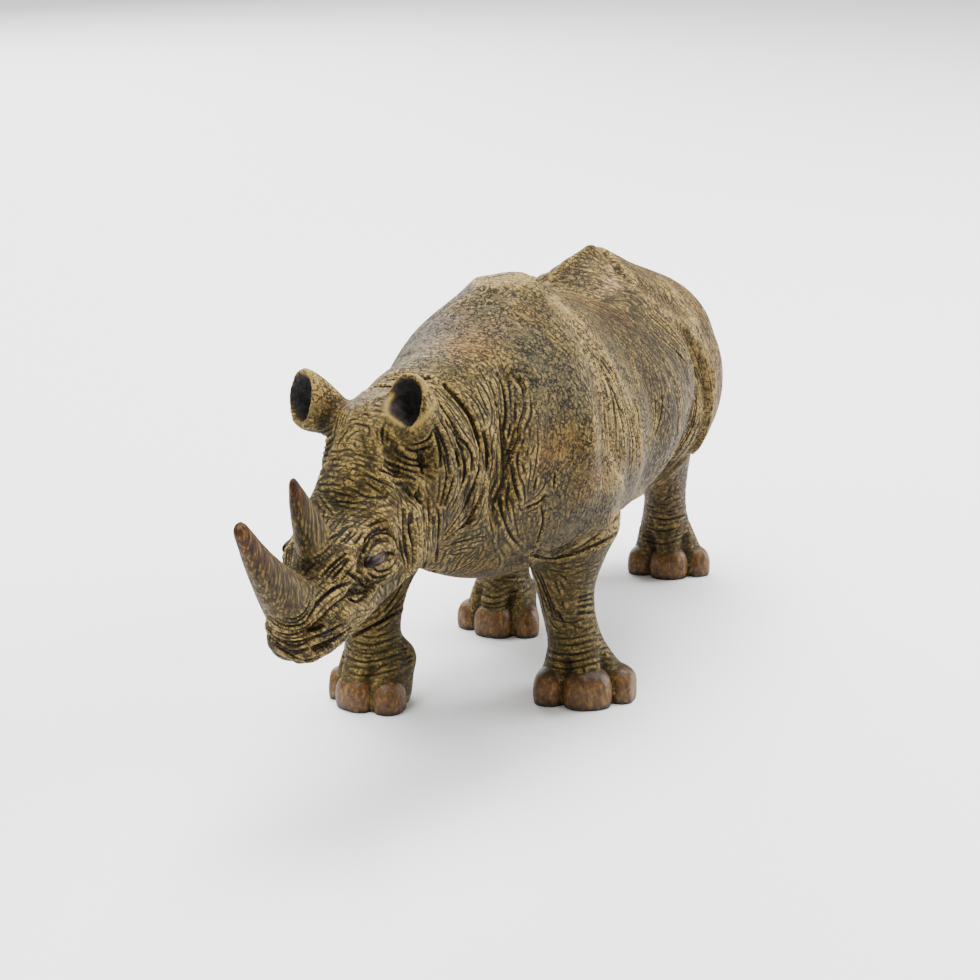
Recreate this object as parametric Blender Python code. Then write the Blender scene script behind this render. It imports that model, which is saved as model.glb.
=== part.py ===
"""A walking black rhinoceros, a figurine moulded in one piece.

The animal faces -Y, its left side is +X and it stands on the plane z = 0. Its forms are shares of
the shoulder height, in a frame of its own: placed() turns them into metres.
"""

import math

import bmesh
import bpy
import numpy as np
from mathutils import Matrix, Vector
from mathutils.bvhtree import BVHTree

# Driving size: from the ground to the top of the shoulder hump, in metres.
SHOULDER_HEIGHT = 0.075

# Wall of the ear shells, in metres. The moulding is as fine as the wall needs.
EAR_WALL = 0.0014
FINENESS = EAR_WALL / 2.2

# Facets of the finished solid, and points round each section.
TRIANGLES = 9400
RING_POINTS = 40

# Where the animal's frame lies from the origin, in shares: this centres its box on the Z axis.
STAND_X = 0.0433
STAND_Y = 0.395

# Head: where the back of the skull is, and how the head is turned, nodded and tilted.
SKULL = Vector((-0.080, -0.890, 0.712))
HEAD_YAW = math.radians(-7)
HEAD_NOD = math.radians(36)
HEAD_TILT = math.radians(3)

# Skin: the light that a tan dry brush leaves on olive grey vinyl.
SKIN_COLOUR = (0.235, 0.195, 0.105, 1.0)
SKIN_ROUGHNESS = 0.6


def placed(point):
    """From shares of the shoulder height in the animal's frame to metres."""
    return (Vector(point) + Vector((STAND_X, STAND_Y, 0))) * SHOULDER_HEIGHT


def smooth_rows(rows, per_span):
    """Rows of numbers with more rows between them, on a Catmull-Rom curve through all of them."""
    rows = np.array(rows, float)
    ends = np.vstack([2 * rows[0] - rows[1], rows, 2 * rows[-1] - rows[-2]])
    made = []
    for i in range(len(rows) - 1):
        p0, p1, p2, p3 = ends[i : i + 4]
        for t in np.arange(per_span) / per_span:
            a = 2 * p1
            b = p2 - p0
            c = 2 * p0 - 5 * p1 + 4 * p2 - p3
            d = 3 * p1 - p0 - 3 * p2 + p3
            made.append((a + b * t + c * t * t + d * t * t * t) / 2)
    made.append(rows[-1])
    return np.array(made)


def section(half_width, top, widest, bottom, ridge, keel):
    """Points (side, up) round a body section: an ellipse in two halves, sharper where ridge or keel is over 1."""
    points = []
    for i in range(RING_POINTS):
        angle = 2 * math.pi * i / RING_POINTS
        s, c = math.sin(angle), math.cos(angle)
        power = ridge if c > 0 else keel
        side = half_width * math.copysign(abs(s) ** power, s)
        up = widest + (top - widest) * c if c > 0 else widest + (widest - bottom) * c
        points.append((side, up))
    return points


def loft(rings):
    """A closed body through rings that have the same number of points, with both ends filled."""
    shape = bmesh.new()
    loops = []
    for ring in rings:
        verts = [shape.verts.new(placed(point)) for point in ring]
        loops.append([shape.edges.new((verts[i - 1], verts[i])) for i in range(len(verts))])
    for first, second in zip(loops, loops[1:]):
        bmesh.ops.bridge_loops(shape, edges=first + second)
    for end in (loops[0], loops[-1]):
        bmesh.ops.edgeloop_fill(shape, edges=end)
    bmesh.ops.recalc_face_normals(shape, faces=shape.faces)
    return shape


def ball(centre, radii, turn=0.0):
    """An ellipsoid, turned about Z."""
    shape = bmesh.new()
    bmesh.ops.create_uvsphere(shape, u_segments=28, v_segments=18, radius=1.0)
    place = Matrix.Translation(centre) @ Matrix.Rotation(turn, 4, "Z") @ Matrix.Diagonal((*radii, 1.0))
    bmesh.ops.transform(shape, matrix=place, verts=shape.verts)
    for vert in shape.verts:
        vert.co = placed(vert.co)
    return shape


def head_matrix():
    """From the head's own axes (side to its left, minus forward, up) to the animal's frame."""
    turn = Matrix.Rotation(HEAD_YAW, 4, "Z") @ Matrix.Rotation(HEAD_NOD, 4, "X") @ Matrix.Rotation(HEAD_TILT, 4, "Y")
    return Matrix.Translation(SKULL) @ turn


def on_head(forward, up, side=0.0):
    """A point of the head, given forward along the face, up from its middle and to its left."""
    return head_matrix() @ Vector((side, -forward, up))


# Trunk stations from the tail to the throat:
# y, half width, top, height of the widest line, bottom, ridge and keel sharpness.
TRUNK = [
    (0.755, 0.110, 0.71, 0.62, 0.50, 1.0, 1.0),
    (0.70, 0.205, 0.795, 0.62, 0.44, 0.88, 1.0),
    (0.58, 0.245, 0.842, 0.63, 0.40, 0.98, 1.0),
    (0.46, 0.235, 0.890, 0.62, 0.38, 1.35, 1.0),
    (0.34, 0.258, 0.935, 0.61, 0.355, 1.6, 1.0),
    (0.20, 0.285, 0.895, 0.60, 0.335, 1.15, 1.0),
    (0.05, 0.298, 0.880, 0.59, 0.325, 1.05, 1.0),
    (-0.12, 0.292, 0.920, 0.59, 0.325, 1.15, 1.0),
    (-0.26, 0.270, 0.985, 0.60, 0.33, 1.25, 1.0),
    (-0.38, 0.265, 1.000, 0.61, 0.335, 1.15, 1.0),
    (-0.50, 0.260, 0.965, 0.63, 0.34, 0.92, 1.05),
    (-0.62, 0.212, 0.922, 0.66, 0.365, 0.88, 1.0),
    (-0.76, 0.172, 0.900, 0.69, 0.425, 0.9, 1.0),
    (-0.92, 0.145, 0.872, 0.71, 0.51, 1.0, 1.0),
    (-0.98, 0.120, 0.850, 0.71, 0.57, 1.0, 1.0),
]

NECK_LEAN = -0.07

# Head stations along the face: forward, half width, top, widest, bottom, ridge and keel sharpness.
HEAD = [
    (-0.10, 0.115, 0.120, 0.00, -0.160, 1.0, 1.0),
    (-0.03, 0.124, 0.175, -0.01, -0.215, 1.0, 0.95),
    (0.045, 0.126, 0.195, -0.02, -0.238, 0.95, 0.88),
    (0.125, 0.120, 0.160, -0.02, -0.232, 0.9, 0.86),
    (0.200, 0.112, 0.122, -0.01, -0.190, 0.85, 0.95),
    (0.270, 0.110, 0.118, 0.00, -0.148, 0.85, 1.05),
    (0.340, 0.098, 0.130, 0.00, -0.115, 0.95, 1.05),
    (0.415, 0.088, 0.128, 0.00, -0.085, 0.95, 1.15),
    (0.470, 0.085, 0.120, 0.01, -0.058, 0.9, 1.2),
    (0.512, 0.072, 0.092, 0.02, -0.036, 0.9, 1.1),
    (0.538, 0.046, 0.052, 0.01, -0.018, 0.95, 1.0),
    (0.550, 0.018, 0.016, 0.00, -0.012, 1.0, 1.0),
]

# Fore leg sections: height, how far the leg bows back there, half width across, half width fore and aft,
# and how far it bows to the right.
FORE_LEG = [
    (0.66, 0.00, 0.075, 0.140, 0.000),
    (0.54, 0.00, 0.108, 0.150, 0.002),
    (0.44, 0.01, 0.124, 0.132, 0.002),
    (0.36, 0.01, 0.096, 0.100, 0.018),
    (0.27, 0.00, 0.070, 0.076, 0.028),
    (0.19, 0.00, 0.063, 0.068, 0.024),
    (0.13, 0.00, 0.067, 0.072, 0.014),
    (0.085, -0.005, 0.086, 0.088, 0.004),
    (0.045, -0.010, 0.089, 0.091, 0.000),
    (-0.03, -0.010, 0.074, 0.078, 0.000),
]

# Hind leg sections, in the same order.
HIND_LEG = [
    (0.74, -0.06, 0.085, 0.150, 0.0),
    (0.60, -0.06, 0.115, 0.190, 0.0),
    (0.46, -0.05, 0.095, 0.165, 0.0),
    (0.36, -0.01, 0.064, 0.118, 0.0),
    (0.28, 0.015, 0.055, 0.084, 0.008),
    (0.21, 0.010, 0.055, 0.068, 0.014),
    (0.14, 0.000, 0.062, 0.068, 0.012),
    (0.09, -0.005, 0.080, 0.082, 0.006),
    (0.045, -0.010, 0.084, 0.088, 0.0),
    (-0.03, -0.010, 0.072, 0.078, 0.0),
]

# Each leg: its sections, where it leaves the trunk, where its foot stands, how the toes turn out, the size
# of the toes, and the height and half width of the heel.
LEGS = {
    "left_fore": (FORE_LEG, (0.135, -0.38), (0.170, -0.30), math.radians(25), 1.14, (0.062, 0.060)),
    "right_fore": (FORE_LEG, (-0.190, -0.42), (-0.276, -0.49), math.radians(-24), 1.02, (0.096, 0.074)),
    "left_hind": (HIND_LEG, (0.140, 0.50), (0.108, 0.683), math.radians(14), 1.0, (0.070, 0.064)),
    "right_hind": (HIND_LEG, (-0.105, 0.42), (-0.158, 0.10), math.radians(-6), 1.0, (0.080, 0.066)),
}

# Toes, in the foot's own frame with the foot pointing along -Y: centre and radii.
TOES = [
    ((0.000, -0.062, 0.030), (0.052, 0.046, 0.050)),
    ((0.068, -0.024, 0.028), (0.034, 0.050, 0.046)),
    ((-0.068, -0.024, 0.028), (0.034, 0.050, 0.046)),
]

# Muscle and bone that round out the trunk: centre on the left side, radii, turn. Both sides get them.
MASSES = [
    ((0.165, -0.36, 0.60), (0.110, 0.165, 0.250), 0.0),
    ((0.142, 0.53, 0.55), (0.130, 0.230, 0.200), 0.0),
    ((0.120, 0.41, 0.79), (0.060, 0.070, 0.055), 0.0),
]

# Tail down the middle of the rump: y, height, half width, half depth.
TAIL = [
    (0.66, 0.76, 0.034, 0.040),
    (0.735, 0.70, 0.030, 0.032),
    (0.755, 0.62, 0.024, 0.026),
    (0.757, 0.53, 0.019, 0.022),
    (0.750, 0.45, 0.017, 0.020),
    (0.742, 0.40, 0.022, 0.020),
    (0.738, 0.36, 0.010, 0.010),
]

# Ears, as trumpets: where each leaves the head, the middle of its mouth, the way the mouth faces,
# and half the height and width of the mouth.
EARS = [
    ((0.045, -0.945, 0.770), (-0.018, -0.985, 0.874), (-0.30, -0.86, 0.25), 0.068, 0.056),
    ((-0.150, -0.940, 0.795), (-0.262, -0.970, 0.857), (-0.60, -0.76, 0.16), 0.067, 0.056),
]

# Folds of the hide on the left side, in the animal's frame: width, depth, points along the fold.
# The right side has the same ones.
BODY_FOLDS = [
    (0.030, 0.024, [(0.13, -0.68, 0.87), (0.155, -0.74, 0.78), (0.16, -0.76, 0.70), (0.15, -0.76, 0.60)]),
    (0.017, 0.012, [(0.06, -0.91, 0.76), (0.08, -0.88, 0.67), (0.07, -0.83, 0.57)]),
    (0.018, 0.014, [(0.04, -0.84, 0.87), (0.10, -0.82, 0.75), (0.11, -0.78, 0.65), (0.09, -0.74, 0.55)]),
    (0.022, 0.020, [(0.10, -0.60, 0.41), (0.16, -0.47, 0.40), (0.22, -0.43, 0.42), (0.26, -0.30, 0.46)]),
    (0.030, 0.020, [(0.17, 0.28, 0.82), (0.23, 0.38, 0.70), (0.25, 0.46, 0.56), (0.21, 0.50, 0.42)]),
    (0.070, 0.018, [(0.24, -0.10, 0.84), (0.29, -0.08, 0.66), (0.27, -0.10, 0.50)]),
    (0.014, 0.008, [(0.27, 0.05, 0.76), (0.29, 0.06, 0.62), (0.27, 0.05, 0.48)]),
    (0.014, 0.008, [(0.26, 0.18, 0.76), (0.28, 0.20, 0.62), (0.26, 0.19, 0.48)]),
    (0.024, 0.016, [(0.09, 0.69, 0.76), (0.07, 0.72, 0.62), (0.05, 0.72, 0.48)]),
]

# Folds of the head, in its own frame: forward along the face, up, to the left. Both cheeks have them.
HEAD_FOLDS = [
    (0.050, 0.016, [(0.234, 0.119, 0.000), (0.225, 0.107, 0.050)]),
    (0.012, 0.012, [(0.495, 0.079, 0.030), (0.450, 0.059, 0.070), (0.396, 0.056, 0.085), (0.342, 0.018, 0.100)]),
    (0.012, 0.010, [(0.513, 0.039, 0.040), (0.459, 0.018, 0.075), (0.396, 0.009, 0.090)]),
    (0.014, 0.018, [(0.526, 0.004, 0.010), (0.495, -0.004, 0.050), (0.441, -0.019, 0.080)]),
    (0.012, 0.012, [(0.351, 0.078, 0.090), (0.297, 0.105, 0.100), (0.243, 0.072, 0.115)]),
    (0.012, 0.012, [(0.360, 0.043, 0.090), (0.297, 0.016, 0.110), (0.243, 0.025, 0.120)]),
    (0.018, 0.014, [(0.090, 0.159, 0.090), (0.126, 0.102, 0.120), (0.117, 0.030, 0.130)]),
    (0.014, 0.012, [(0.261, -0.034, 0.110), (0.261, -0.058, 0.110)]),
    (0.013, 0.016, [(0.473, 0.060, 0.070), (0.464, 0.048, 0.075)]),
]

# Rounded forms that stand out from the head: width, height, points, in the head's frame.
HEAD_SWELLS = [
    (0.022, 0.012, [(0.310, 0.052, 0.105), (0.284, 0.048, 0.110)]),
    (0.020, 0.014, [(0.351, 0.095, 0.080), (0.297, 0.122, 0.090), (0.243, 0.102, 0.110)]),
    (0.050, 0.012, [(0.198, -0.073, 0.120), (0.126, -0.112, 0.120)]),
]

# Gaps between the toes, in the foot's own frame.
TOE_GAPS = [(0.012, 0.024, [(side, -0.05, 0.10), (side, -0.08, 0.05), (side, -0.09, 0.0)]) for side in (0.040, -0.040)]


def neck_bend(y):
    """How far the middle of the neck leans to the right, towards the head."""
    share = min(1.0, max(0.0, (-0.45 - y) / 0.50))
    return NECK_LEAN * share * share * (3 - 2 * share)


def trunk():
    rings = []
    for y, half_width, top, widest, bottom, ridge, keel in smooth_rows(TRUNK, 3):
        outline = section(half_width, top, widest, bottom, ridge, keel)
        rings.append([Vector((side + neck_bend(y), y, up)) for side, up in outline])
    return loft(rings)


def tail():
    """A short tail that hangs against the rump, flat at its end."""
    rings = []
    for y, z, half_width, half_depth in smooth_rows(TAIL, 4):
        ring = []
        for i in range(RING_POINTS):
            angle = 2 * math.pi * i / RING_POINTS
            ring.append(Vector((half_width * math.cos(angle), y + half_depth * math.sin(angle), z)))
        rings.append(ring)
    return loft(rings)


def head():
    rings = []
    for forward, half_width, top, widest, bottom, ridge, keel in smooth_rows(HEAD, 3):
        outline = section(half_width, top, widest, bottom, ridge, keel)
        rings.append([on_head(forward, up, side) for side, up in outline])
    return loft(rings)


def leg(sections, hip, foot, splay):
    """One leg as a tube from inside the trunk to just under the ground."""
    high, low = sections[0][0], 0.10
    rings = []
    for height, bow, across, along, lean in smooth_rows(sections, 3):
        share = min(1.0, (high - height) / (high - low))
        x = hip[0] + (foot[0] - hip[0]) * share - lean
        y = hip[1] + (foot[1] - hip[1]) * share + bow
        turn = splay * share
        ring = []
        for i in range(RING_POINTS):
            angle = 2 * math.pi * i / RING_POINTS
            side, ahead = across * math.cos(angle), along * math.sin(angle)
            ring.append(
                Vector(
                    (
                        x + side * math.cos(turn) - ahead * math.sin(turn),
                        y + side * math.sin(turn) + ahead * math.cos(turn),
                        height,
                    )
                )
            )
        rings.append(ring)
    return loft(rings)


def toes(foot, splay, size, heel):
    place = Matrix.Translation((foot[0], foot[1], 0)) @ Matrix.Rotation(splay, 4, "Z")
    for centre, radii in TOES:
        yield ball(place @ (Vector(centre) * size), [radius * size for radius in radii], splay)
    height, half_width = heel
    yield ball(place @ Vector((0, 0.048, height)), (half_width, 0.050, 0.054), splay)


def horn(base, rise, tip, base_radii, tip_radius, flare):
    """A horn on the head: a tube along a bent line from base over rise to tip, hollower in outline with more flare."""
    steps = 12
    rings = []
    for i in range(steps + 1):
        t = i / steps
        forward = (1 - t) ** 2 * base[0] + 2 * t * (1 - t) * rise[0] + t * t * tip[0]
        up = (1 - t) ** 2 * base[1] + 2 * t * (1 - t) * rise[1] + t * t * tip[1]
        slope_forward = 2 * (1 - t) * (rise[0] - base[0]) + 2 * t * (tip[0] - rise[0])
        slope_up = 2 * (1 - t) * (rise[1] - base[1]) + 2 * t * (tip[1] - rise[1])
        length = math.hypot(slope_forward, slope_up)
        thin = (1 - t) ** flare
        along = tip_radius + (base_radii[0] - tip_radius) * thin
        across = tip_radius + (base_radii[1] - tip_radius) * thin
        ring = []
        for j in range(RING_POINTS):
            angle = 2 * math.pi * j / RING_POINTS
            ahead = along * math.cos(angle)
            ring.append(
                on_head(
                    forward + ahead * slope_up / length,
                    up - ahead * slope_forward / length,
                    across * math.sin(angle),
                )
            )
        rings.append(ring)
    return loft(rings)


def ear(base, mouth, facing, half_height, half_width):
    """A trumpet from the head to its mouth and back inside to a closed bottom."""
    base, mouth, facing = Vector(base), Vector(mouth), Vector(facing).normalized()
    axis = (mouth - base).normalized()
    wall = EAR_WALL / SHOULDER_HEIGHT

    def ring(share, grow, inset):
        normal = axis.lerp(facing, share * share).normalized()
        side = normal.cross(Vector((0, 0, 1))).normalized()
        up = side.cross(normal).normalized()
        middle = base.lerp(mouth, share)
        points = []
        for i in range(RING_POINTS):
            angle = 2 * math.pi * i / RING_POINTS
            across = (half_width * grow - inset) * math.cos(angle)
            along = (half_height * grow - inset) * math.sin(angle)
            points.append(middle + side * across + up * along)
        return points

    outside = [(-0.25, 0.50), (0.0, 0.50), (0.2, 0.58), (0.4, 0.74), (0.6, 0.90), (0.8, 0.99), (0.95, 1.0)]
    rings = [ring(share, grow, 0.0) for share, grow in outside]
    rings.append(ring(1.0, 0.97, wall * 0.4))
    rings.extend(ring(share, grow, wall) for share, grow in reversed(outside[3:]))
    return loft(rings)


def joined(name, shapes):
    """One object that holds every shape."""
    whole = bmesh.new()
    for shape in shapes:
        mesh = bpy.data.meshes.new("shape")
        shape.to_mesh(mesh)
        shape.free()
        whole.from_mesh(mesh)
        bpy.data.meshes.remove(mesh)
    mesh = bpy.data.meshes.new(name)
    whole.to_mesh(mesh)
    whole.free()
    made = bpy.data.objects.new(name, mesh)
    bpy.context.scene.collection.objects.link(made)
    return made


def apply_modifier(thing, kind, **settings):
    """Adds a modifier to the object and bakes it into the mesh."""
    modifier = thing.modifiers.new(kind.title(), kind)
    for key, value in settings.items():
        setattr(modifier, key, value)
    graph = bpy.context.evaluated_depsgraph_get()
    baked = bpy.data.meshes.new_from_object(thing.evaluated_get(graph))
    thing.modifiers.clear()
    old = thing.data
    thing.data = baked
    bpy.data.meshes.remove(old)


def carve(thing, folds, place, mirrored):
    """Pushes the surface in along each fold, or out where its depth is negative.

    place(point, side) puts a point of a fold into the animal's frame, where side is 1, or -1 for the
    same point on the right. A mirrored fold is cut on both sides. Depths are shares too."""
    surface = BVHTree.FromObject(thing, bpy.context.evaluated_depsgraph_get())
    count = len(thing.data.vertices)
    points = np.empty(count * 3)
    normals = np.empty(count * 3)
    thing.data.vertices.foreach_get("co", points)
    thing.data.vertex_normals.foreach_get("vector", normals)
    points, normals = points.reshape(-1, 3), normals.reshape(-1, 3)
    moves = np.zeros(count)
    for width, depth, line in folds:
        for sign in (1, -1) if mirrored else (1,):
            path = [surface.find_nearest(placed(place(Vector(point), sign)))[0] for point in smooth_rows(line, 4)]
            near = np.full(count, 9.0)
            for start, end in zip(path, path[1:]):
                start, along = np.array(start), np.array(end - start)
                share = np.clip((points - start) @ along / max(along @ along, 1e-12), 0, 1)
                near = np.minimum(near, np.linalg.norm(points - start - share[:, None] * along, axis=1))
            moves -= depth * SHOULDER_HEIGHT * np.exp(-((near / (width * SHOULDER_HEIGHT)) ** 2))
    thing.data.vertices.foreach_set("co", (points + normals * moves[:, None]).ravel())
    thing.data.update()


def body_place(point, sign):
    return Vector((sign * point.x, point.y, point.z))


def head_place(point, sign):
    return on_head(point.x, point.y, sign * point.z)


def carve_all(figure):
    carve(figure, BODY_FOLDS, body_place, True)
    carve(figure, HEAD_FOLDS, head_place, True)
    carve(figure, [(width, -height, line) for width, height, line in HEAD_SWELLS], head_place, True)
    for sections, hip, foot, splay, size, heel in LEGS.values():
        ground = Matrix.Translation((foot[0], foot[1], 0)) @ Matrix.Rotation(splay, 4, "Z")
        carve(figure, TOE_GAPS, lambda point, sign: ground @ point, False)


def stand_flat(thing):
    """Cuts the object off on the ground plane and fills each sole."""
    shape = bmesh.new()
    shape.from_mesh(thing.data)
    geometry = shape.verts[:] + shape.edges[:] + shape.faces[:]
    cut = bmesh.ops.bisect_plane(shape, geom=geometry, plane_co=(0, 0, 0), plane_no=(0, 0, -1), clear_outer=True)
    rim = [item for item in cut["geom_cut"] if isinstance(item, bmesh.types.BMEdge)]
    bmesh.ops.holes_fill(shape, edges=rim, sides=0)
    bmesh.ops.triangulate(shape, faces=shape.faces)
    bmesh.ops.recalc_face_normals(shape, faces=shape.faces)
    shape.to_mesh(thing.data)
    shape.free()


def skin_material():
    material = bpy.data.materials.new("painted_skin")
    material.use_nodes = True
    finish = material.node_tree.nodes["Principled BSDF"]
    finish.inputs["Base Color"].default_value = SKIN_COLOUR
    finish.inputs["Roughness"].default_value = SKIN_ROUGHNESS
    finish.inputs["Metallic"].default_value = 0.0
    return material


def rhinoceros():
    shapes = [trunk(), tail(), head()]
    for sections, hip, foot, splay, size, heel in LEGS.values():
        shapes.append(leg(sections, hip, foot, splay))
        shapes.extend(toes(foot, splay, size, heel))
    for (x, y, z), radii, turn in MASSES:
        for side in (1, -1):
            shapes.append(ball((side * x, y, z), radii, side * turn))
    shapes.append(horn((0.460, 0.06), (0.515, 0.24), (0.520, 0.432), (0.072, 0.062), 0.018, 1.15))
    shapes.append(horn((0.330, 0.09), (0.342, 0.22), (0.322, 0.336), (0.062, 0.042), 0.012, 0.95))
    shapes.extend(ear(*sizes) for sizes in EARS)
    figure = joined("rhinoceros", shapes)
    apply_modifier(figure, "REMESH", mode="VOXEL", voxel_size=FINENESS)
    apply_modifier(figure, "SMOOTH", factor=0.5, iterations=8)
    carve_all(figure)
    apply_modifier(figure, "SMOOTH", factor=0.5, iterations=1)
    faces = 2 * len(figure.data.polygons)
    apply_modifier(figure, "DECIMATE", ratio=TRIANGLES / faces)
    stand_flat(figure)
    figure.data.materials.clear()
    figure.data.materials.append(skin_material())
    figure.data.shade_smooth()
    return figure


def main():
    for thing in list(bpy.data.objects):
        bpy.data.objects.remove(thing)
    rhinoceros()


main()
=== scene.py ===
# %% [markdown]
# A walking rhinoceros, a figurine 176 mm long, moulded in vinyl and painted by hand. The solid that
# carries it is already built, so this notebook makes its looks: the hide with its folds and cracks, the
# horns, the eyes, the toenails, and the paint on all of them.

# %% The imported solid
import math
import random

import bmesh
import bpy
import numpy as np
from mathutils import Matrix, Vector
from mathutils.bvhtree import BVHTree
from mathutils.kdtree import KDTree


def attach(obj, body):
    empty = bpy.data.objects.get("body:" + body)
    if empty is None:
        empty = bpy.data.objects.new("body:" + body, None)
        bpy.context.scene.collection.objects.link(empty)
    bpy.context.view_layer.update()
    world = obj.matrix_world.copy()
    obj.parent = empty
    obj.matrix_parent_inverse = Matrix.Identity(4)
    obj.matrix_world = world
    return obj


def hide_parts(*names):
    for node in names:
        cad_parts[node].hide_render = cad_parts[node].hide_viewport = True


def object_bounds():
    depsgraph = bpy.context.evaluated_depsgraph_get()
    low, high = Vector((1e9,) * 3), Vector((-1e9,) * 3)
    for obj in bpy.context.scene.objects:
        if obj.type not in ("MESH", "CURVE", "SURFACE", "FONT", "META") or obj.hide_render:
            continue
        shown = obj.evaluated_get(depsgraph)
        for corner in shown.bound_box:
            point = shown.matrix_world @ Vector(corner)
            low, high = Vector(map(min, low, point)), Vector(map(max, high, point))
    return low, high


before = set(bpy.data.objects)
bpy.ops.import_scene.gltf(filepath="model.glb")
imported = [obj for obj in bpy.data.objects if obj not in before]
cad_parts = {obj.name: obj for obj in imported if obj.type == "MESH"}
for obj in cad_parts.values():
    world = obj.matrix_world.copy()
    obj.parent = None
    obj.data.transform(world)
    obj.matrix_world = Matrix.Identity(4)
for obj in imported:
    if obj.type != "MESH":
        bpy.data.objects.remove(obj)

SOLID_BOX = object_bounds()
random.seed(7)
chance = np.random.default_rng(7)

# %% [markdown]
# The animal has a frame of its own, in which every length is a share of its shoulder height and the feet
# stand round the origin. It faces -Y and its left is +X. The camera is described in the same shares: where
# it looks, from which side, and from how far.

# %% The animal's frame and the camera
SHOULDER = 0.075
STAND = Vector((0.0433, 0.395, 0.0))
LOOK_AT = Vector((-0.164, 0.0, 0.384))
AZIMUTH, ELEVATION, DISTANCE = math.radians(18.9), math.radians(16.6), 7.06
PICTURE = 980
FOCAL = 2882


def metres(point):
    """From shares in the animal's frame to metres."""
    return (Vector(point) + STAND) * SHOULDER


def shares(point):
    return Vector(point) / SHOULDER - STAND


LEVEL = math.cos(ELEVATION)
BACK = Vector((math.sin(AZIMUTH) * LEVEL, -math.cos(AZIMUTH) * LEVEL, math.sin(ELEVATION)))
RIGHT = Vector((math.cos(AZIMUTH), math.sin(AZIMUTH), 0))
UP = BACK.cross(RIGHT)
EYE = metres(LOOK_AT + BACK * DISTANCE)

camera = bpy.data.objects.new("camera", bpy.data.cameras.new("camera"))
camera.data.sensor_width = 36
camera.data.lens = 36 * FOCAL / PICTURE
camera.data.clip_start = 0.01
camera.matrix_world = Matrix.Translation(EYE) @ Matrix((RIGHT, UP, BACK)).transposed().to_4x4()
bpy.context.scene.collection.objects.link(camera)
bpy.context.scene.camera = camera

# %% [markdown]
# The head has a second frame: forward along the face, up from its middle, and to its left. It is nodded,
# turned and tilted against the body.

# %% The head's frame
SKULL = Vector((-0.080, -0.890, 0.712))
HEAD_YAW, HEAD_NOD, HEAD_TILT = math.radians(-7), math.radians(36), math.radians(3)
HEAD = Matrix.Translation(SKULL) @ (
    Matrix.Rotation(HEAD_YAW, 4, "Z") @ Matrix.Rotation(HEAD_NOD, 4, "X") @ Matrix.Rotation(HEAD_TILT, 4, "Y")
)


def head_shares(points):
    """Forward, up and left of each point, for an array of points in the animal's frame."""
    inverse = np.array(HEAD.inverted())
    local = points @ inverse[:3, :3].T + inverse[:3, 3]
    return np.column_stack([-local[:, 1], local[:, 2], local[:, 0]])


# %% [markdown]
# The hide starts as a copy of the solid. Its facets are merged and rounded by a subdivision surface, and a
# voxel remesh then lays an even net of small squares over it, fine enough to carry the folds.

# %% A fine net over the solid
FINE_NET = 0.00032


def bake(thing, kind, **settings):
    """Adds a modifier and makes it part of the mesh."""
    modifier = thing.modifiers.new(kind, kind)
    for key, value in settings.items():
        setattr(modifier, key, value)
    graph = bpy.context.evaluated_depsgraph_get()
    baked = bpy.data.meshes.new_from_object(thing.evaluated_get(graph))
    thing.modifiers.clear()
    thing.data = baked


def new_piece(name, shape):
    mesh = bpy.data.meshes.new(name)
    shape.to_mesh(mesh)
    shape.free()
    piece = bpy.data.objects.new(name, mesh)
    bpy.context.scene.collection.objects.link(piece)
    return piece


def read(mesh, layer="co"):
    """Positions or normals of a mesh as an array."""
    values = np.empty(len(mesh.vertices) * 3)
    source, field = (mesh.vertices, "co") if layer == "co" else (mesh.vertex_normals, "vector")
    source.foreach_get(field, values)
    return values.reshape(-1, 3)


def tree_of(points):
    """A tree that finds the nearest of the given points."""
    tree = KDTree(len(points))
    for i, point in enumerate(points):
        tree.insert(point, i)
    tree.balance()
    return tree


copy = bmesh.new()
copy.from_mesh(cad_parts["rhinoceros"].data)
bmesh.ops.remove_doubles(copy, verts=copy.verts, dist=1e-6)
hide = new_piece("hide", copy)
bake(hide, "SUBSURF", levels=2, render_levels=2)
bake(hide, "REMESH", mode="VOXEL", voxel_size=FINE_NET)
bake(hide, "SMOOTH", factor=0.5, iterations=6)
surface = BVHTree.FromObject(hide, bpy.context.evaluated_depsgraph_get())

# %% [markdown]
# A fold is drawn as a line over the picture, as it is seen from the camera, and cast on to the surface. The
# far side gets most folds too, mirrored in the body's or the head's own middle, so the animal is finished all
# round. On the head they are shallower there.

# %% Lines on the surface


def smooth_line(points, step):
    """Points about one step apart on a Catmull-Rom curve through all of the given ones."""
    points = [np.array(point, float) for point in points]
    ends = [2 * points[0] - points[1], *points, 2 * points[-1] - points[-2]]
    line = []
    for p0, p1, p2, p3 in zip(ends, ends[1:], ends[2:], ends[3:]):
        count = max(1, round(np.linalg.norm(p2 - p1) / step))
        for t in np.arange(count) / count:
            line.append((2 * p1 + (p2 - p0) * t + (2 * p0 - 5 * p1 + 4 * p2 - p3) * t * t
                         + (3 * p1 - p0 - 3 * p2 + p3) * t * t * t) / 2)
    return line + [points[-1]]


def seen(x, y):
    """The surface point that shows at a place of the picture, or None."""
    ray = (RIGHT * (x - PICTURE / 2) - UP * (y - PICTURE / 2) - BACK * FOCAL).normalized()
    return surface.ray_cast(EYE, ray)[0]


def mirrored(point, on):
    """The same place on the other side of the head or the body."""
    point = shares(point)
    if on == "head":
        local = HEAD.inverted() @ point
        point = HEAD @ Vector((-local.x, local.y, local.z))
    else:
        point = Vector((-point.x, point.y, point.z))
    return surface.find_nearest(metres(point))[0]


FOLDS = []
GAP = 0.003
FAR_SIDE = {"head": 0.55, "body": 1.0}


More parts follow.
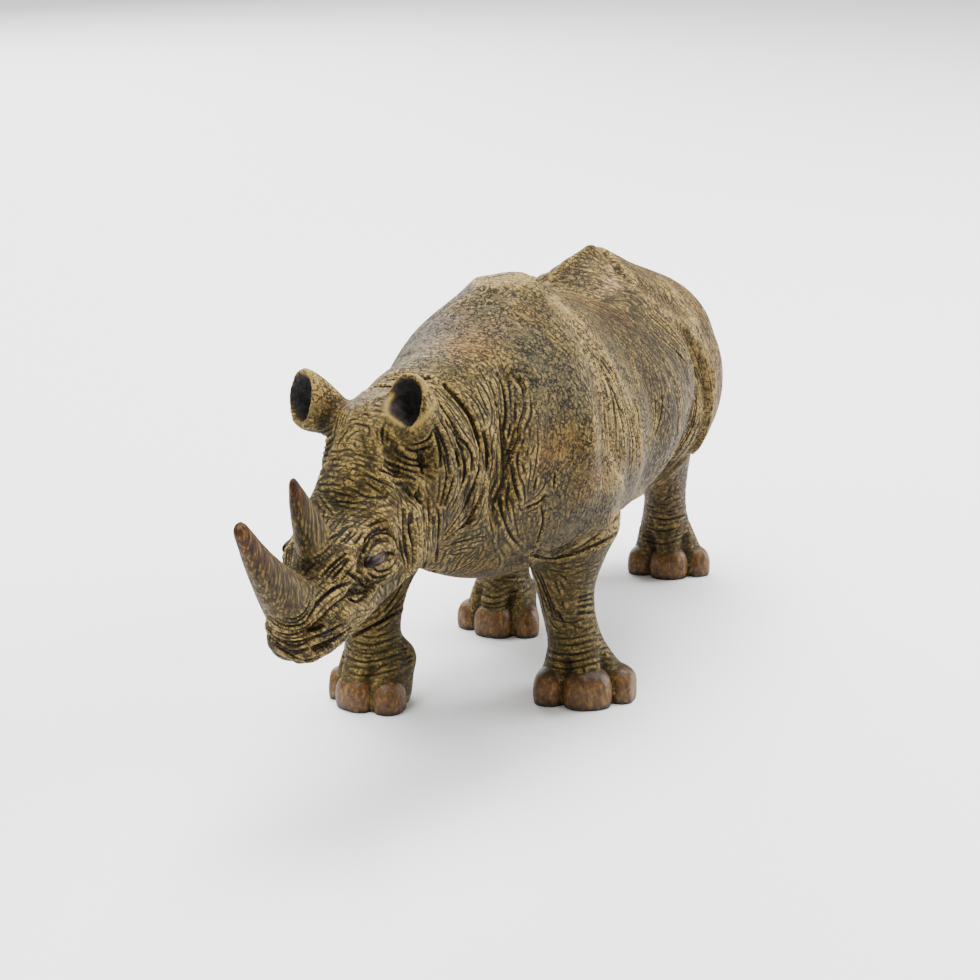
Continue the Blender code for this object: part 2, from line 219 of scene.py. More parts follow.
def fold(width, depth, places, on="body", both=True, bank=0.35):
    """A furrow along a line in the picture. Width and depth are in millimetres, and bank is how far the hide
    swells beside it, as a share of the depth. A negative depth makes a ridge."""
    path = [seen(x, y) for x, y in smooth_line(places, 2.0)]
    path = [point for point in path if point is not None]
    runs = [[]]
    for point in path:
        if runs[-1] and (point - runs[-1][-1]).length > GAP:
            runs.append([])
        runs[-1].append(point)
    for run in runs:
        if len(run) < 2:
            continue
        FOLDS.append((width / 1000, depth / 1000, bank, np.array(run)))
        if both:
            other = np.array([mirrored(point, on) for point in run])
            FOLDS.append((width / 1000, FAR_SIDE[on] * depth / 1000, bank, other))


WANDER = 1.5


def fan(count, width, depth, first, last, on="body", both=True):
    """Furrows that fill the space between two lines, each a little astray and not quite whole."""
    first, last = (np.array(smooth_line(line, 1.0)) for line in (first, last))
    for i in range(count):
        share = (i + random.uniform(-0.25, 0.25)) / max(1, count - 1)
        start, stop = random.uniform(0, 0.18), random.uniform(0.80, 1.0)
        places = []
        drift = random.uniform(-WANDER, WANDER), random.uniform(-WANDER, WANDER)
        for t in np.linspace(start, stop, 7):
            a, b = (line[round(t * (len(line) - 1))] for line in (first, last))
            place = a + (b - a) * share
            wave = WANDER * math.sin(5 * t + 3 * i)
            places.append((place[0] + drift[0] * t + wave * 0.4, place[1] + drift[1] * t))
        fold(width * random.uniform(0.8, 1.25), depth * random.uniform(0.6, 1.25), places, on, both)


# %% [markdown]
# The broad forms come first: the hollow behind the shoulder blade, the hip bone, the temple, the brow and the
# lids. They are wide and shallow, and carry no dark paint of their own.

# %% Broad forms
fold(4.5, 1.5, [(548, 286), (568, 318), (590, 352), (600, 393), (608, 424), (611, 452)], bank=0.25)
fold(3.2, -0.9, [(519, 278), (546, 300), (572, 334), (590, 372), (596, 410), (594, 440)])
fold(2.6, -0.8, [(590, 263), (592, 270), (594, 278)])
fold(1.3, -0.8, [(590, 260), (575, 268), (562, 277), (544, 281)], both=False)
fold(1.3, -0.8, [(591, 260), (602, 263), (611, 274), (618, 282)], both=False)
fold(1.5, 1.1, [(548, 276), (564, 270), (578, 261), (590, 253), (601, 254), (612, 266), (622, 276)],
     both=False)
fold(2.4, 0.5, [(560, 292), (580, 292), (604, 298)])
fold(2.6, 0.6, [(618, 278), (645, 292), (672, 308)])
fold(2.0, -0.9, [(632, 292), (655, 306), (680, 324), (697, 347), (707, 372), (708, 400), (704, 424),
                 (696, 444)])
fold(3.0, -0.7, [(470, 300), (500, 286), (530, 288)])
fold(2.4, 0.45, [(522, 385), (518, 420), (508, 460), (498, 500)], bank=0.4)
fold(2.0, 0.30, [(350, 497), (356, 493), (366, 490), (377, 490), (388, 497)], "head")
fold(2.6, -0.7, [(350, 522), (366, 513), (384, 516), (396, 526)], "head")
fold(2.4, -0.6, [(408, 505), (416, 530), (416, 560)], "head")
fold(2.2, 0.7, [(404, 500), (404, 530), (402, 548)], "head")
fold(2.2, 0.6, [(352, 592), (372, 590), (390, 590)], "head")
fold(2.4, -0.6, [(330, 618), (350, 612), (372, 600)], "head")
fold(1.8, 0.6, [(392, 440), (398, 470), (408, 486)], "head")
fold(2.4, -0.5, [(350, 445), (350, 465), (346, 482)], "head")
BROAD = len(FOLDS)

# %% [markdown]
# The neck is a stack of long curved folds that hang from behind the ear to the throat. The deepest two look
# black from the front.

# %% Neck and shoulder
fold(0.60, 0.55, [(520, 380), (525, 388), (526, 398)])
fold(0.35, 0.30, [(526, 400), (525, 412), (520, 426), (519, 440), (511, 456), (506, 472), (503, 485)])
fold(0.35, 0.35, [(516, 428), (512, 445), (506, 458)])
fold(0.35, 0.35, [(512, 466), (515, 484), (519, 499)])
fold(0.45, 0.50, [(433, 407), (447, 422), (459, 437), (467, 445), (472, 456), (472, 469)])
fold(0.45, 0.55, [(445, 386), (460, 403), (470, 417), (476, 434), (479, 450), (479, 469), (474, 485),
                  (467, 501), (459, 517), (448, 531), (441, 540)])
fold(0.45, 0.55, [(484, 433), (487, 450), (486, 470), (483, 490), (476, 507), (466, 523), (447, 539)])
fold(0.40, 0.40, [(495, 403), (496, 424), (492, 445), (492, 464), (487, 484), (480, 504)])
fold(0.40, 0.40, [(490, 382), (495, 399), (500, 424), (503, 445), (504, 464), (503, 484), (495, 501)])
fold(0.35, 0.30, [(496, 374), (503, 390), (506, 414), (503, 434), (506, 450)])
fold(0.40, 0.45, [(435, 430), (440, 448), (441, 466)])
fold(0.40, 0.45, [(444, 456), (447, 472), (445, 488), (441, 504)])
fold(0.40, 0.45, [(452, 456), (455, 472), (451, 488), (445, 504)])
fold(0.35, 0.35, [(462, 452), (465, 470), (460, 490), (452, 508)])
fold(0.35, 0.20, [(503, 484), (500, 497), (503, 517), (511, 536), (522, 549)])
fold(0.35, 0.35, [(440, 549), (453, 544), (472, 539)])
fold(0.35, 0.35, [(441, 543), (457, 531), (474, 519)])
fold(0.40, 0.45, [(434, 410), (452, 430), (462, 450)])
fold(0.35, 0.35, [(526, 508), (538, 503), (545, 496)])
fold(0.30, 0.25, [(555, 474), (554, 488)])
fold(0.30, 0.25, [(537, 477), (534, 489)])
fold(0.30, 0.25, [(541, 505), (543, 521), (537, 543)])

# %% [markdown]
# Above the elbow the belly and chest end in a lip over the fore leg, with a small deep pit in the armpit.

# %% Elbow and armpit
fold(0.50, 0.45, [(531, 554), (546, 559), (567, 556), (587, 549), (607, 540), (615, 535)])
fold(0.35, 0.25, [(561, 556), (581, 547), (601, 532), (618, 516), (626, 505)])
fold(0.75, 1.10, [(531, 555), (535, 552), (541, 553)], bank=0.2)
fan(6, 0.30, 0.20, [(529, 564), (540, 590), (548, 616)], [(536, 562), (550, 596), (562, 628)], both=False)
fan(4, 0.32, 0.30, [(574, 598), (586, 595), (596, 592)], [(574, 614), (588, 612), (600, 608)])

# %% [markdown]
# Down the flank run fine, nearly upright wrinkles, and a long curved fold parts the belly from the thigh.

# %% Flank, loin and back
fold(0.55, 0.55, [(695, 328), (704, 350), (709, 368), (712, 388)])
fold(0.40, 0.35, [(648, 315), (672, 335), (686, 353), (695, 373), (701, 400), (699, 421), (691, 440)])
fold(0.35, 0.30, [(651, 330), (668, 344), (685, 361), (694, 381), (696, 404)])
fold(0.40, 0.35, [(662, 282), (676, 300), (689, 320), (701, 335)])
fold(0.35, 0.30, [(632, 360), (638, 386)])
fold(0.35, 0.30, [(655, 397), (655, 421), (648, 447)])
fold(0.35, 0.30, [(662, 393), (662, 411), (655, 436)])
fold(0.35, 0.30, [(615, 397), (622, 416), (625, 436)])
fold(0.35, 0.30, [(635, 400), (639, 421), (636, 450)])
SHOULDER_REAR = [(542, 283), (554, 291), (571, 315), (587, 338), (601, 371), (609, 404), (613, 440),
                 (616, 471), (622, 495), (618, 511), (603, 530), (583, 546)]
FLANK_FRONT = [(554, 289), (583, 326), (613, 371), (636, 424), (641, 464), (636, 485), (632, 499)]
LOIN_OUTER = [(632, 291), (654, 309), (675, 326), (693, 346), (703, 371), (707, 395), (703, 424), (693, 446),
              (681, 462), (664, 477), (648, 489), (634, 497)]
LOIN_INNER = [(634, 299), (664, 322), (683, 346), (693, 375), (695, 403), (691, 428), (677, 450),
              (658, 471), (640, 491)]
HIP_EDGE = [(542, 279), (562, 277), (575, 267), (589, 259), (601, 262), (611, 275), (616, 281)]
THIGH_EDGE = [(664, 281), (685, 307), (701, 338), (707, 362)]
fan(9, 0.26, 0.16, SHOULDER_REAR[:8], FLANK_FRONT)
fan(5, 0.26, 0.18, LOIN_OUTER, LOIN_INNER)
for line, high in (
    (SHOULDER_REAR, 0.25), (FLANK_FRONT, 0.20), (LOIN_OUTER, 0.45), (HIP_EDGE, 0.20), (THIGH_EDGE, 0.30)
):
    fold(0.9, -high, line)

# %% [markdown]
# The face is the most worked part. Folds run in rings round the eye and round the base of the front horn,
# and sweep from the mouth up to the eye.

# %% Face


def enlarged(line, left, top, zoom):
    """From the places of an enlarged part of the picture to those of the whole one."""
    return [(left + x / zoom, top + y / zoom) for x, y in line]


def crop(line):
    return enlarged(line, 225, 470, 6.817)


for line in (
    [(960, 520), (1000, 460), (1080, 430), (1150, 470), (1190, 530)],
    [(940, 560), (960, 470), (1020, 420), (1090, 400)],
    [(1000, 660), (1050, 690), (1120, 670), (1165, 610)],
    [(975, 700), (1030, 735), (1110, 715), (1180, 640)],
    [(950, 740), (1020, 775), (1100, 750)],
    [(1010, 640), (1040, 590), (1090, 560), (1150, 575)],
):
    fold(0.30, 0.38, crop(line), "head")
for line in (
    [(860, 770), (780, 790), (700, 840), (640, 900), (600, 960), (570, 1010)],
    [(1050, 760), (960, 825), (870, 830), (790, 880), (720, 940), (650, 1010), (600, 1060)],
    [(960, 860), (900, 900), (850, 880)],
    [(820, 690), (900, 740), (960, 790), (1020, 800)],
    [(1440, 680), (1370, 740), (1290, 850), (1240, 930), (1090, 1020), (880, 1130)],
):
    fold(0.42, 0.50, crop(line), "head")
for line in (
    [(1215, 270), (1210, 360), (1230, 460), (1240, 560), (1235, 660), (1215, 760), (1170, 850), (1090, 960)],
    [(1290, 330), (1300, 430), (1300, 560), (1280, 680), (1250, 790), (1180, 900), (1080, 1020)],
    [(1380, 200), (1390, 330), (1380, 480), (1370, 620), (1320, 740), (1250, 850), (1160, 950)],
    [(1440, 250), (1460, 330), (1450, 500), (1440, 620)],
    [(1250, 300), (1255, 400), (1270, 520), (1260, 640)],
    [(1340, 260), (1345, 380), (1340, 520), (1325, 650), (1285, 760)],
):
    fold(0.32, 0.30, crop(line), "head")
for line in (
    [(270, 930), (300, 990), (370, 1050), (450, 1070), (530, 1050), (590, 980), (620, 900)],
    [(255, 980), (300, 1060), (380, 1110), (470, 1120), (560, 1090)],
    [(270, 1060), (330, 1130), (420, 1170), (520, 1170), (600, 1140)],
    [(300, 1130), (380, 1200), (470, 1240), (560, 1220)],
    [(390, 1230), (460, 1270), (540, 1300), (610, 1290)],
    [(600, 1140), (660, 1120), (720, 1090), (800, 1040)],
):
    fold(0.34, 0.40, crop(line), "head", False)
fan(4, 0.24, 0.20, crop([(262, 950), (300, 1022), (375, 1078), (460, 1095), (545, 1070), (605, 1010)]),
    crop([(300, 1165), (380, 1222), (470, 1256), (560, 1240)]), "head", False)
fan(3, 0.24, 0.18, crop([(300, 880), (340, 960), (420, 1015), (500, 1005), (560, 940), (592, 860)]),
    crop([(285, 915), (320, 985), (400, 1045), (500, 1045), (575, 985), (612, 890)]), "head", False)
fan(4, 0.24, 0.20, crop([(640, 1120), (700, 1110), (770, 1070)]),
    crop([(640, 1195), (700, 1170), (780, 1110)]), "head")
fold(0.45, 0.80, crop([(570, 1090), (610, 1082), (650, 1065)]), "head", True, 0.5)
fold(0.30, 0.60, crop([(600, 1215), (660, 1190), (720, 1165), (790, 1120), (850, 1075)]), "head")
fold(0.60, 1.00, crop([(620, 1212), (660, 1198), (700, 1176)]), "head", True, 0.3)
fold(0.40, 0.50, [(384.5, 584), (386, 588)], "head", True, 0.1)
fold(0.42, -0.35, crop([(980, 640), (1010, 560), (1080, 515), (1150, 520), (1180, 560)]), "head")
fold(0.40, -0.30, crop([(1005, 655), (1060, 655), (1120, 630), (1165, 590)]), "head")
for count, first, last in (
    (5, [(700, 480), (760, 440), (820, 400)], [(860, 520), (900, 470), (940, 420)]),
    (4, [(960, 390), (1000, 370), (1050, 350)], [(990, 440), (1040, 410), (1100, 390)]),
    (4, [(650, 740), (720, 660), (820, 580)], [(780, 750), (840, 690), (880, 620)]),
):
    fan(count, 0.28, 0.25, crop(first), crop(last), "head")

# %% [markdown]
# Short folds cross the temple between the eye and the ear, and long ones start behind the ear.

# %% Between eye and ear


def crown(line):
    return enlarged(line, 270, 350, 7.84)


for line in (
    [(990, 790), (1080, 850), (1200, 870)],
    [(1000, 860), (1100, 900), (1230, 910)],
    [(860, 940), (960, 980), (1080, 1000)],
    [(890, 910), (1000, 960), (1130, 1010)],
    [(900, 870), (1010, 920), (1150, 960)],
    [(900, 570), (880, 650), (890, 730)],
    [(960, 560), (930, 640), (930, 720)],
    [(1040, 700), (1120, 740), (1240, 700), (1280, 620)],
    [(1030, 740), (1120, 790), (1250, 760)],
):
    fold(0.34, 0.32, crown(line), "head")
for line in (
    [(760, 430), (840, 440), (940, 470)],
    [(750, 470), (860, 480), (960, 510)],
    [(740, 500), (840, 520), (950, 550)],
):
    fold(0.30, 0.30, crown(line), "head", False)
for line in (
    [(1290, 470), (1380, 620), (1440, 760), (1480, 900)],
    [(1300, 380), (1420, 560), (1500, 700)],
    [(1280, 560), (1340, 680), (1390, 820), (1410, 960)],
):
    fold(0.40, 0.45, crown(line))

# %% [markdown]
# On the ankles the hide lies in rings, and it bulges between them.

# %% Legs
fan(4, 0.27, 0.10, [(550, 643), (572, 646), (600, 640)], [(543, 664), (570, 670), (612, 660)])
fan(2, 0.26, 0.08, [(552, 622), (570, 626), (594, 620)], [(550, 638), (570, 641), (596, 636)])
fan(5, 0.26, 0.08, [(350, 628), (372, 636), (402, 624)], [(342, 668), (368, 674), (412, 664)])
fan(3, 0.34, 0.12, [(646, 516), (666, 520), (688, 514)], [(638, 538), (664, 544), (700, 532)])
fan(3, 0.28, 0.08, [(480, 594), (494, 598), (510, 592)], [(474, 604), (492, 609), (512, 604)])

# %% [markdown]
# The listed folds are only the boldest lines. Between them the hide has thousands of finer wrinkles that
# run the same way. They are grown: each starts at a random point and follows the direction of the nearest
# folds, or, where there are none, round the trunk, round the legs or round the muzzle. A wrinkle stops where
# it comes too near another one.

# %% The direction of the wrinkles
SPARSE = 46_000
GUIDE_REACH, COMB_SHARE = 0.0032, 0.35
net_points, net_normals = read(hide.data), read(hide.data, "normal")
pick = chance.choice(len(net_points), SPARSE, replace=False)
field_points, field_normals = net_points[pick], net_normals[pick]


def soft(values, low, high):
    """0 below low, 1 above high, and a smooth ramp between, also with low above high."""
    share = np.clip((values - low) / (high - low), 0, 1)
    return share * share * (3 - 2 * share)


HORNS = [
    ((0.460, 0.06), (0.515, 0.24), (0.520, 0.432), 0.076),
    ((0.330, 0.09), (0.342, 0.22), (0.322, 0.336), 0.060),
]
EARS = [
    ((0.045, -0.945, 0.770), (-0.018, -0.985, 0.874)),
    ((-0.150, -0.940, 0.795), (-0.262, -0.970, 0.857)),
]


def along_horn(head, base, rise, tip):
    """Distance from a horn's middle line and place along it, for every point."""
    gap, place = np.full(len(head), 9.0), np.zeros(len(head))
    for t in np.linspace(0, 1, 40):
        spot = (1 - t) ** 2 * np.array(base) + 2 * t * (1 - t) * np.array(rise) + t * t * np.array(tip)
        here = np.linalg.norm(head - (*spot, 0.0), axis=1)
        place = np.where(here < gap, t, place)
        gap = np.minimum(gap, here)
    return gap, place


def regions(points, normals):
    """The parts of the animal as shares from 0 to 1, for every point."""
    body = points / SHOULDER - np.array(STAND)
    head = head_shares(body)
    part = {"body": body, "head": head}
    part["face"] = soft(head[:, 0], -0.02, 0.10) * soft(body[:, 1], -0.86, -0.96)
    part["legs"] = soft(body[:, 2], 0.42, 0.30) * (1 - part["face"])
    rest = (1 - part["face"]) * (1 - part["legs"])
    part["neck"] = soft(body[:, 1], -0.62, -0.70) * soft(body[:, 2], 0.88, 0.78) * rest
    part["shoulder"] = soft(body[:, 1], -0.05, -0.18) * (1 - part["neck"]) * rest
    part["rump"] = soft(body[:, 1], 0.10, 0.50)
    # Downward-facing hide, which the paint darkens as painted shade.
    part["under"] = soft(normals[:, 2], 0.15, -0.45)
    part["horn"], part["horn_place"] = np.zeros(len(points)), np.zeros(len(points))
    for base, rise, tip, thick in HORNS:
        gap, place = along_horn(head, base, rise, tip)
        here = soft(gap, thick, thick * 0.85) * soft(place, 0.22, 0.34)
        part["horn_place"] = np.where(here > part["horn"], place, part["horn_place"])
        part["horn"] = np.maximum(part["horn"], here)
    part["ear"], part["ear_inside"], part["ear_rim"] = (np.zeros(len(points)) for _ in range(3))
    for base, mouth in EARS:
        base, mouth = np.array(base), np.array(mouth)
        axis = mouth - base
        place = (body - base) @ axis / (axis @ axis)
        out = body - base - np.clip(place, 0, 1)[:, None] * axis
        gap = np.linalg.norm(out, axis=1)
        near = soft(gap, 0.082, 0.074) * soft(place, 0.30, 0.45)
        facing = (normals * out).sum(1) / np.maximum(gap, 1e-6)
        part["ear"] = np.maximum(part["ear"], near)
        # Inward-facing walls of the ear, and those whose normal runs into the opposite wall, get dark paint
        # and painted shade.
        inner = near * soft(gap, 0.050, 0.040) * soft(place, 0.30, 0.45) * soft(facing, 0.1, -0.2)
        for i in ((near > 0.1) & (facing < np.where(gap < 0.045, 0.1, -0.25))).nonzero()[0]:
            start = Vector(points[i]) + Vector(normals[i]) * 0.0006
            if surface.ray_cast(start, Vector(normals[i]), 0.0085)[0] is not None:
                inner[i] = near[i] * soft(gap[i], 0.063, 0.057)
        part["ear_inside"] = np.maximum(part["ear_inside"], inner)
        part["ear_rim"] = np.maximum(part["ear_rim"], near * soft(place, 0.88, 1.0) * soft(facing, -0.1, 0.2))
    return part


def unit(vectors):
    return vectors / np.maximum(np.linalg.norm(vectors, axis=-1, keepdims=True), 1e-9)


field = regions(field_points, field_normals)
axis = np.array(HEAD.to_3x3() @ Vector((0, -1, 0)))
axes = field["face"][:, None] * axis + field["legs"][:, None] * (0, 0, 1)
axes = axes + (1 - field["face"] - field["legs"])[:, None] * (0, 1, 0.12)
comb = unit(np.cross(field_normals, axes))
tensor = comb[:, :, None] * comb[:, None, :] * COMB_SHARE

guide_points, guide_ways = [], []
for _, depth, _, path in FOLDS[BROAD:]:
    if depth > 0:
        guide_points.append((path[:-1] + path[1:]) / 2)
        guide_ways.append(unit(path[1:] - path[:-1]))
guide_points, guide_ways = np.concatenate(guide_points), np.concatenate(guide_ways)
guides = tree_of(guide_points)
for i, point in enumerate(field_points):
    for _, j, distance in guides.find_n(point, 5):
        if distance < 3 * GUIDE_REACH:
            way = guide_ways[j]
            tensor[i] += math.exp(-((distance / GUIDE_REACH) ** 2)) * way[:, None] * way
flat = np.eye(3) - field_normals[:, :, None] * field_normals[:, None, :]
tensor = flat @ tensor @ flat
comb = np.linalg.eigh(tensor)[1][:, :, 2]
lookup = tree_of(field_points)

# %% [markdown]
# Space is counted in small cells, and a line blocks its own cells and their neighbours. The length, the
# weight and the number of the wrinkles depend on the part of the animal: long on the neck, short and faint on
# the shoulder.

# %% Growing the wrinkles
STEP, CELL = 0.00045, 0.00036
blocked = set()


def cell(point):
    return tuple(int(round(value / CELL)) for value in point)


def cells_round(point):
    x, y, z = cell(point)
    return [(x + i, y + j, z + k) for i in (-1, 0, 1) for j in (-1, 0, 1) for k in (-1, 0, 1)]


for point in guide_points:
    blocked.update(cells_round(point))


def grow(start, way, length):
    """Points along a wrinkle from a start, in one direction."""
    line = []
    point = Vector(start)
    bend = random.uniform(-0.14, 0.14)
    for _ in range(round(length / STEP)):
        _, i, _ = lookup.find(point)
        next_way = Vector(comb[i])
        if next_way.dot(way) < 0:
            next_way.negate()
        side = Vector(field_normals[i]).cross(next_way)
        way = (way * 0.45 + next_way * 0.55 + side * (bend + random.uniform(-0.12, 0.12))).normalized()
        point = surface.find_nearest(point + way * STEP)[0]
        if cell(point) in blocked:
            break
        line.append(point)
    return line


# For each part: the range of lengths in millimetres, the range of weights, and the share that is grown.
WRINKLES = {
    "face": ((2.5, 8.0), (0.30, 0.85), 1.0),
    "neck": ((4.0, 14.0), (0.35, 0.90), 0.9),
    "legs": ((1.0, 4.0), (0.30, 0.70), 0.9),
    "shoulder": ((0.8, 2.6), (0.12, 0.42), 0.30),
    "rest": ((1.5, 6.0), (0.14, 0.50), 0.60),
}
share = {name: values for name, values in field.items() if values.ndim == 1}
strokes = []
order = chance.permutation(SPARSE)
for i in order:
    if share["horn"][i] > 0.1 or share["ear"][i] > 0.5:
        continue
    body = field["body"][i]
    if body[2] < 0.10 and share["legs"][i] > 0.5:
        continue
    where = next((name for name in ("face", "neck", "legs", "shoulder") if share[name][i] > 0.5), "rest")
    length, weight, amount = WRINKLES[where]
    if random.random() > amount or cell(field_points[i]) in blocked:
        continue
    half = random.uniform(*length) / 2000
    way = Vector(comb[i])
    start = Vector(field_points[i])
    line = grow(start, way, half)[::-1] + [start] + grow(start, -way, half)
    if len(line) < 4:
        continue
    for point in line:
        blocked.update(cells_round(point))
    strokes.append((random.uniform(*weight), np.array(line)))

# %% [markdown]
# Every line, drawn or grown, becomes a row of close marks. A mark knows its place, its direction and its
# weight, which fades out towards both ends of the line. For any point of the hide the nearest mark then tells
# how far the nearest wrinkle is, and on which side it lies.

# %% Marks on the lines
MARK = 0.00014
mark_places, mark_ways, mark_weights = [], [], []
lines = [(min(1.0, 0.35 + depth / 0.0006), path) for _, depth, _, path in FOLDS[BROAD:] if depth > 0]
for weight, path in lines + strokes:
    lengths = np.concatenate([[0], np.cumsum(np.linalg.norm(path[1:] - path[:-1], axis=1))])
    count = max(3, int(lengths[-1] / MARK))
    at = np.linspace(0, lengths[-1], count)
    places = np.column_stack([np.interp(at, lengths, path[:, k]) for k in range(3)])
    ways = unit(np.gradient(places, axis=0))
    fade = np.minimum(1, np.minimum(at, lengths[-1] - at) / (0.22 * lengths[-1] + 1e-6)) ** 0.7
    mark_places.append(places)
    mark_ways.append(ways)
    mark_weights.append(weight * fade)
mark_places, mark_ways = np.concatenate(mark_places), np.concatenate(mark_ways)
mark_weights = np.concatenate(mark_weights)
marks = tree_of(mark_places)


def nearest_line(points, normals):
    """Signed distance across the nearest line, plain distance to it, both in millimetres, and its weight."""
    nearest = np.fromiter((marks.find(point)[1] for point in points), np.int64, len(points))
    gap = points - mark_places[nearest]
    ways = mark_ways[nearest]
    gap = gap - (gap * normals).sum(1)[:, None] * normals
    across = (gap * np.cross(normals, ways)).sum(1)
    return across * 1000, np.linalg.norm(gap, axis=1) * 1000, mark_weights[nearest]


# %% [markdown]
# All folds are cut at once. Where two cross, the deeper one counts, so a crossing is no deeper than its
# folds. The fine wrinkles add a shallow furrow each.

# %% Cutting the folds


def fold_relief(points):
    """How far each point moves along its normal."""
    form, groove, swell = (np.zeros(len(points)) for _ in range(3))
    for i, (width, depth, bank, path) in enumerate(FOLDS):
        reach = 3.2 * width
        near = np.all((points > path.min(0) - reach) & (points < path.max(0) + reach), axis=1).nonzero()[0]
        if not len(near):
            continue
        local = points[near]
        distance = np.full(len(near), 1.0)
        for start, end in zip(path, path[1:]):
            along = end - start
            part = np.clip((local - start) @ along / max(along @ along, 1e-12), 0, 1)
            distance = np.minimum(distance, np.linalg.norm(local - start - part[:, None] * along, axis=1))
        x = distance / width
        if i < BROAD:
            form[near] -= depth * (np.exp(-x * x) - bank * np.exp(-((x - 1.6) / 0.7) ** 2) * (depth > 0))
        elif depth < 0:
            swell[near] = np.maximum(swell[near], -depth * np.exp(-x * x))
        else:
            groove[near] = np.maximum(groove[near], depth * np.exp(-np.abs(1.45 * x) ** 1.6))
            swell[near] = np.maximum(swell[near], bank * depth * np.exp(-((x - 1.5) / 0.7) ** 2))
    return form - groove + swell * np.exp(-groove / 1e-4)


def move(piece, points):
    """Moves the points of a piece and keeps them inside the solid's box."""
    low, high = (np.array(corner) for corner in SOLID_BOX)
    piece.data.vertices.foreach_set("co", np.clip(points, low, high).ravel())
    piece.data.update()


WRINKLE_DEPTH, WRINKLE_WIDTH = 0.00016, 0.24
LIP_HEIGHT, LIP_PLACE, LIP_WIDTH = 0.00006, 0.5, 0.22
_, near, weight = nearest_line(net_points, net_normals)
relief = fold_relief(net_points) - WRINKLE_DEPTH * weight * np.exp(-((near / WRINKLE_WIDTH) ** 2))
relief = relief + LIP_HEIGHT * weight * np.exp(-(((near - LIP_PLACE) / LIP_WIDTH) ** 2))
here = regions(net_points, net_normals)
relief = relief * (1 - 0.9 * here["horn"]) * (1 - 0.8 * here["ear"])

# The slit of the eye is a lens between the two corners that the picture shows. The third place is its middle.
EYE_HIGH, EYE_DEPTH = 0.78, 0.0014
corners = seen(374.0, 564.5), seen(394.0, 554.5), seen(384.0, 559.5)
EYE_WIDE = (corners[1] - corners[0]).length * 500
eyes = []
for front, back, centre in (corners, [mirrored(corner, "head") for corner in corners]):
    normal, way = surface.find_nearest(centre)[1], back - front
    way = (way - normal * normal.dot(way)).normalized()
    eyes.append((centre, normal, way))
    way = np.array(way)
    rise = np.cross(np.array(normal), way)
    gap = (net_points - np.array(centre)) * 1000
    lens = np.abs(gap @ way / EYE_WIDE) ** 1.6 + np.abs(gap @ rise / EYE_HIGH) ** 1.6
    near_eye = np.linalg.norm(gap, axis=1) < 5
    relief = np.where(near_eye, relief - EYE_DEPTH * soft(lens, 1.15, 0.70), relief)
move(hide, net_points + net_normals * relief[:, None])

# %% [markdown]
# A mesh that is kept under 200,000 triangles can't be as fine as the wrinkles all over, so the head and the
# body become two closed pieces that meet in a fold of the neck. Both take their normals from the uncut hide,
# so the paint and the light run on over the joint.

# %% Head and body
TRIANGLES = 192_000
NECK = -0.70
whole = bmesh.new()
whole.from_mesh(hide.data)


def side_of(source, front):
    """A closed copy of the hide on one side of the neck."""
    shape = source.copy()
    doomed = [face for face in shape.faces if (shares(face.calc_center_median()).y < NECK) != front]
    bmesh.ops.delete(shape, geom=doomed, context="FACES")
    rim = [edge for edge in shape.edges if edge.is_boundary]
    bmesh.ops.holes_fill(shape, edges=rim, sides=0)
    return shape


head_hide = new_piece("head_hide", side_of(whole, True))
body_hide = new_piece("body_hide", side_of(whole, False))
whole.free()
for piece in (head_hide, body_hide):
    count = sum(len(face.vertices) - 2 for face in piece.data.polygons)
    if count > TRIANGLES:
        bake(piece, "DECIMATE", ratio=TRIANGLES / count)
    piece.data.shade_smooth()

# %% [markdown]
# The paint follows the form, so the form is measured and kept on the mesh as named values. Hollow says how
# far a point lies below its neighbourhood: wash gathers where it is high, and dry paint with painted
# highlight where it is low.

# %% Values that the paint reads


def keep(piece, name, values):
    layer = piece.data.attributes.new(name, "FLOAT", "POINT")
    layer.data.foreach_set("value", np.asarray(values, dtype=np.float32))


def hollow(mesh, rounds):
    """How far each point lies under the mean of its surroundings, in millimetres."""
    edges = np.empty(len(mesh.edges) * 2, dtype=np.int64)
    mesh.edges.foreach_get("vertices", edges)
    a, b = edges.reshape(-1, 2).T
    here = read(mesh)
    mean = here.copy()
    degree = np.bincount(a, minlength=len(here)) + np.bincount(b, minlength=len(here))
    for _ in range(rounds):
        total = mean.copy()
        for axis in range(3):
            column = mean[:, axis]
            total[:, axis] = np.bincount(a, column[b], len(here)) + np.bincount(b, column[a], len(here))
        mean = total / np.maximum(degree, 1)[:, None]
    return ((mean - here) * read(mesh, "normal")).sum(1) * 1000


uncut, uncut_normals = read(hide.data), read(hide.data, "normal")
uncut_fine, uncut_wide = hollow(hide.data, 4), hollow(hide.data, 36)
bpy.data.objects.remove(hide)
uncut_tree = tree_of(uncut)


def spread(lines, width, step=1.5):
    """A value that is 1 on lines or spots of the picture and fades out over a width in millimetres."""
    places = [seen(x, y) for line in lines for x, y in smooth_line(line, step)]
    places = [place for place in places if place is not None]
    tree = tree_of(places + [mirrored(place, "body") for place in places])

    def value(points):
        gaps = np.array([tree.find(point)[2] for point in points]) * 1000
        return np.exp(-((gaps / width) ** 2))

    return value


